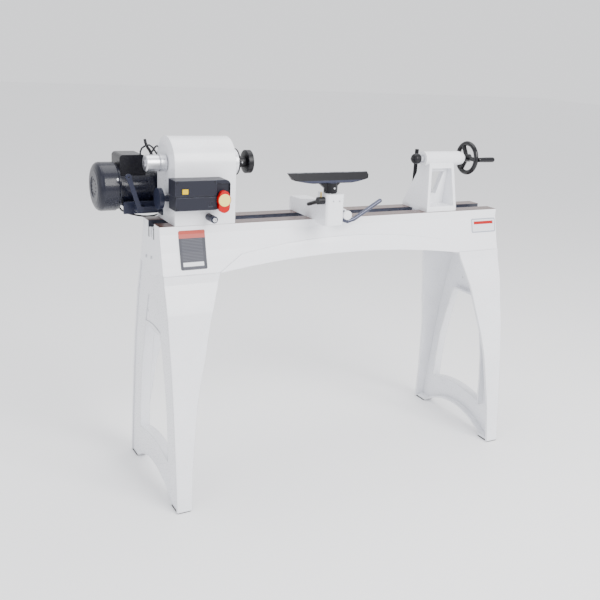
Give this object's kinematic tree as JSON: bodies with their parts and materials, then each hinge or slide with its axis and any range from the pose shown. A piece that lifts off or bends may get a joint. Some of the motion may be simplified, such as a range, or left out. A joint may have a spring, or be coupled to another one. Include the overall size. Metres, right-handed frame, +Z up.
{
  "type": "wood lathe",
  "caption": "Floor-standing wood lathe: cast bed on arched legs, belt-driven headstock with motor behind, swivelling tool rest and sliding tailstock.",
  "frame": {"origin": "centre of the overall box, on the floor under the foot pads", "axes": "+Z up, +X along the bed from the headstock to the tailstock, -Y towards the operator at the front"},
  "size_m": [1.688, 0.568, 1.344],
  "materials": {
    "cast_white": "gloss",
    "motor_black": "gloss",
    "dark_metal": "satin",
    "blue_grey_metal": "satin",
    "slate_plastic": "matte",
    "black_plastic": "gloss",
    "bright_steel": "brushed",
    "aluminium": "satin",
    "rubber": "matte",
    "red_plastic": "gloss",
    "yellow_plastic": "gloss",
    "pale_plastic": "gloss",
    "brass": "satin",
    "label": "satin",
    "badge": "satin"
  },
  "bodies": {
    "bed": {"bed_casting": "cast_white", "left_leg": "cast_white", "right_leg": "cast_white", "leg_bolts": "bright_steel", "foot_pads": "rubber", "end_screws": "bright_steel", "warning_plate": "label", "badge_plate": "badge"},
    "headstock": {"headstock_casting": "cast_white", "rear_cover": "cast_white", "front_bearing": "bright_steel", "rear_bearing": "bright_steel", "control_box": "slate_plastic", "tension_bracket": "blue_grey_metal", "headstock_clamp_plate": "dark_metal", "plate_bolts": "bright_steel", "upper_leads": "rubber", "lower_lead": "rubber", "drive_belt": "rubber"},
    "headstock_clamp": {"headstock_clamp_shaft": "blue_grey_metal", "hub_screw": "bright_steel"},
    "motor_lock": {"motor_lock_knob": "blue_grey_metal"},
    "start_button": {"start_key": "yellow_plastic"},
    "stop_button": {"stop_paddle": "red_plastic", "stop_disc": "pale_plastic"},
    "tension": {"tension_lever": "blue_grey_metal"},
    "spindle_group": {"spindle": "bright_steel", "spindle_pulley": "aluminium", "index_ring": "bright_steel", "spindle_collar": "dark_metal", "faceplate": "dark_metal", "faceplate_screw": "bright_steel", "outboard_handwheel": "aluminium"},
    "motor": {"motor_plate": "blue_grey_metal", "motor_body": "motor_black", "motor_end_bell": "motor_black", "fan_cover": "motor_black", "capacitor_cover": "black_plastic"},
    "rotor": {"motor_shaft": "bright_steel", "motor_pulley": "aluminium", "cooling_fan": "black_plastic"},
    "banjo_plate": {"banjo_clamp_plate": "dark_metal"},
    "banjo_bolt": {"banjo_clamp_bolt": "bright_steel"},
    "banjo": {"banjo_casting": "cast_white"},
    "banjo_lever": {"banjo_clamp_shaft": "cast_white", "banjo_clamp_lever": "blue_grey_metal"},
    "post_lock": {"post_lock_lever": "dark_metal", "lock_pin": "brass"},
    "rest_post": {"tool_rest_post": "bright_steel"},
    "rest": {"tool_rest": "dark_metal", "rest_screw": "bright_steel"},
    "tailstock": {"tailstock_casting": "cast_white", "tailstock_clamp_plate": "dark_metal"},
    "tail_clamp": {"tailstock_clamp_lever": "dark_metal"},
    "quill_group": {"quill": "bright_steel", "live_centre_body": "dark_metal"},
    "tail_wheel": {"leadscrew": "bright_steel", "tail_handwheel": "dark_metal"},
    "handle": {"wheel_handle": "black_plastic"},
    "centre": {"live_centre_point": "dark_metal"}
  },
  "joints": [
    {"name": "headstock_slide", "type": "slide", "parent": "bed", "child": "headstock", "axis": [1, 0, 0], "range_m": [0, 0.12]},
    {"name": "headstock_clamp_turn", "type": "hinge", "parent": "headstock", "child": "headstock_clamp", "pos_m": [-0.504, 0, 1.069], "axis": [0, 1, 0], "range_deg": [0, 90]},
    {"name": "motor_lock_turn", "type": "hinge", "parent": "headstock", "child": "motor_lock", "pos_m": [-0.666, -0.03, 1.129], "axis": [1, 0, 0], "range_deg": [-180, 180]},
    {"name": "start_press", "type": "slide", "parent": "headstock", "child": "start_button", "axis": [0, 1, 0], "range_m": [0, 0.0025], "stiffness_N_per_m": 500},
    {"name": "stop_press", "type": "slide", "parent": "headstock", "child": "stop_button", "axis": [0, 1, 0], "range_m": [0, 0.005], "stiffness_N_per_m": 600},
    {"name": "spindle_spin", "type": "hinge", "parent": "headstock", "child": "spindle_group", "pos_m": [-0.521, 0, 1.25], "axis": [1, 0, 0], "continuous": true},
    {"name": "motor_lift", "type": "slide", "parent": "headstock", "child": "motor", "axis": [0, 0, 1], "range_m": [0, 0.012], "deforming": ["drive_belt", "upper_leads", "lower_lead"]},
    {"name": "tension_turn", "type": "hinge", "parent": "headstock", "child": "tension", "pos_m": [-0.715, 0.05, 1.078], "axis": [0, -1, 0], "range_deg": [0, 30.2]},
    {"name": "rotor_spin", "type": "hinge", "parent": "motor", "child": "rotor", "pos_m": [-0.621, 0.175, 1.141], "axis": [1, 0, 0], "continuous": true},
    {"name": "banjo_along_bed", "type": "slide", "parent": "bed", "child": "banjo_plate", "axis": [1, 0, 0], "range_m": [-0.15, 0.1]},
    {"name": "banjo_swivel", "type": "hinge", "parent": "banjo_plate", "child": "banjo_bolt", "pos_m": [0.039, 0, 1.01], "axis": [0, 0, 1], "range_deg": [-25, 12]},
    {"name": "banjo_in_out", "type": "slide", "parent": "banjo_bolt", "child": "banjo", "axis": [0, 1, 0], "range_m": [-0.055, 0.02]},
    {"name": "banjo_clamp_turn", "type": "hinge", "parent": "banjo", "child": "banjo_lever", "pos_m": [0.039, -0.14, 1.062], "axis": [0, -1, 0], "range_deg": [-12, 65]},
    {"name": "post_lock_turn", "type": "hinge", "parent": "banjo", "child": "post_lock", "pos_m": [-0.109, -0.205, 1.133], "axis": [1, 0, 0], "range_deg": [-30, 40]},
    {"name": "rest_height", "type": "slide", "parent": "banjo", "child": "rest_post", "axis": [0, 0, 1], "range_m": [0, 0.06]},
    {"name": "rest_swivel", "type": "hinge", "parent": "rest_post", "child": "rest", "pos_m": [-0.061, -0.188, 1.18], "axis": [0, 0, 1], "range_deg": [-90, 90]},
    {"name": "tailstock_along_bed", "type": "slide", "parent": "bed", "child": "tailstock", "axis": [1, 0, 0], "range_m": [-0.2, 0.15]},
    {"name": "tailstock_clamp_turn", "type": "hinge", "parent": "tailstock", "child": "tail_clamp", "pos_m": [0.529, 0.101, 1.075], "axis": [0, 1, 0], "range_deg": [-45, 60]},
    {"name": "tail_wheel_turn", "type": "hinge", "parent": "tailstock", "child": "tail_wheel", "pos_m": [0.725, 0, 1.25], "axis": [1, 0, 0], "range_deg": [0, 7200]},
    {"name": "quill_feed", "type": "slide", "parent": "tailstock", "child": "quill_group", "axis": [-1, 0, 0], "range_m": [0, 0.1]},
    {"name": "handle_spin", "type": "hinge", "parent": "tail_wheel", "child": "handle", "pos_m": [0.779, -0.064, 1.25], "axis": [1, 0, 0], "continuous": true},
    {"name": "centre_spin", "type": "hinge", "parent": "quill_group", "child": "centre", "pos_m": [0.445, 0, 1.25], "axis": [1, 0, 0], "continuous": true}
  ],
  "couplings": [
    {"joint": "rotor_spin", "follows": "spindle_spin", "ratio": 1.1474},
    {"joint": "tension_turn", "follows": "motor_lift", "rad_per_m": 43.6},
    {"joint": "quill_feed", "follows": "tail_wheel_turn", "m_per_rad": 0.00079577}
  ]
}
